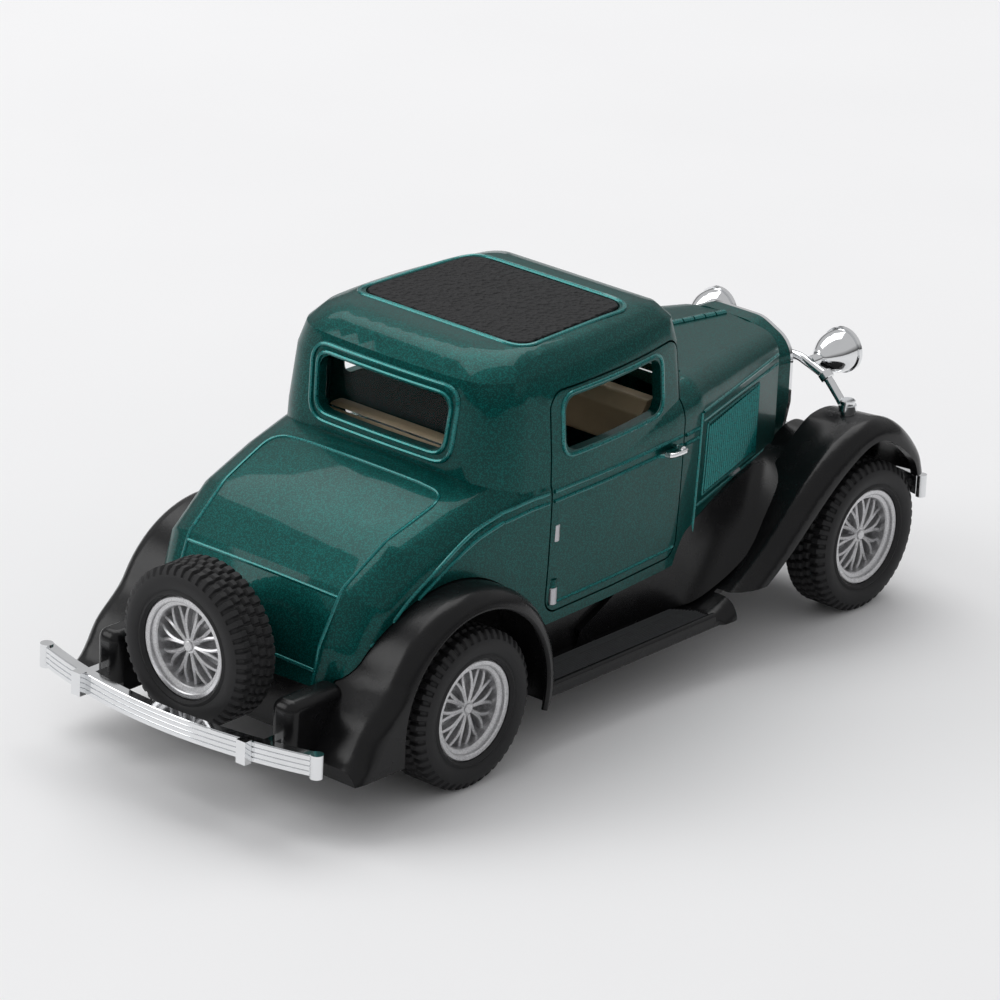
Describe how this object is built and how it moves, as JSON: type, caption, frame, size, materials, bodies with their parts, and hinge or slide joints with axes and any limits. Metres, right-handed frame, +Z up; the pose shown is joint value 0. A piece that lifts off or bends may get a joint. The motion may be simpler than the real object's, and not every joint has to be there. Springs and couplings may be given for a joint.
{
  "type": "toy car",
  "caption": "Small-scale coupe with opening rear-hinged doors, rolling wheels, pull-back motor, spare wheel and chromed trim.",
  "frame": {"origin": "on the ground, in the middle of the car's length and width", "axes": "+X forward, +Y to the car's left, +Z up"},
  "size_m": [0.124, 0.0486, 0.0504],
  "materials": {
    "green_paint": "metallic teal green enamel with fine flake, clear coat",
    "black_moulding": "black semi-gloss moulded plastic",
    "leather_panel": "dark leather-grain insert",
    "tan_plastic": "tan moulded plastic",
    "chrome": "vacuum chromed plastic",
    "clear_plastic": "clear moulded plastic",
    "lens_plastic": "clear fluted lens",
    "silver_rim": "bright silver painted rim",
    "tyre_rubber": "black rubber with a block tread",
    "steel": "plain steel pin",
    "spring_steel": "blued spring steel band",
    "gear_plastic": "white nylon gear",
    "case_plastic": "dark moulded motor case"
  },
  "bodies": {
    "chassis": {"body_shell": "green_paint", "fender_moulding": "black_moulding", "chassis_pan": "black_moulding", "spare_carrier": "black_moulding", "steering_wheel": "black_moulding", "steering_column": "black_moulding", "interior_tub": "black_moulding", "roof_panel": "leather_panel", "bench_seat": "tan_plastic", "dashboard": "tan_plastic", "radiator_grille": "chrome", "rear_bumper": "chrome", "front_bumper": "chrome", "headlamp_bar": "chrome", "headlamp_shell_left": "chrome", "headlamp_shell_right": "chrome", "windscreen": "clear_plastic", "rear_glass": "clear_plastic", "headlamp_lens_left": "lens_plastic", "headlamp_lens_right": "lens_plastic", "spare_rim": "silver_rim", "spare_tyre": "tyre_rubber", "chassis_screws": "steel", "mainspring": "spring_steel", "spring_gear": "gear_plastic", "motor_case": "case_plastic", "motor_cover": "case_plastic"},
    "door_left": {"door_left": "green_paint"},
    "door_right": {"door_right": "green_paint"},
    "front_wheels": {"front_axle": "steel", "rim_front_left": "silver_rim", "rim_front_right": "silver_rim", "tyre_front_left": "tyre_rubber", "tyre_front_right": "tyre_rubber"},
    "rear_wheels": {"rear_axle": "steel", "rim_rear_left": "silver_rim", "rim_rear_right": "silver_rim", "tyre_rear_left": "tyre_rubber", "tyre_rear_right": "tyre_rubber", "axle_gear": "gear_plastic"}
  },
  "joints": [
    {"name": "door_left_hinge", "type": "hinge", "parent": "chassis", "child": "door_left", "pos_m": [-0.0119, 0.0187, 0.028], "axis": [0, 0, 1], "range_deg": [0, 62]},
    {"name": "door_right_hinge", "type": "hinge", "parent": "chassis", "child": "door_right", "pos_m": [-0.0119, -0.0187, 0.028], "axis": [0, 0, -1], "range_deg": [0, 62]},
    {"name": "front_wheels_roll", "type": "hinge", "parent": "chassis", "child": "front_wheels", "pos_m": [0.0482, 0, 0.0102], "axis": [0, 1, 0], "continuous": true},
    {"name": "rear_wheels_roll", "type": "hinge", "parent": "chassis", "child": "rear_wheels", "pos_m": [-0.031, 0, 0.0102], "axis": [0, 1, 0], "continuous": true}
  ]
}
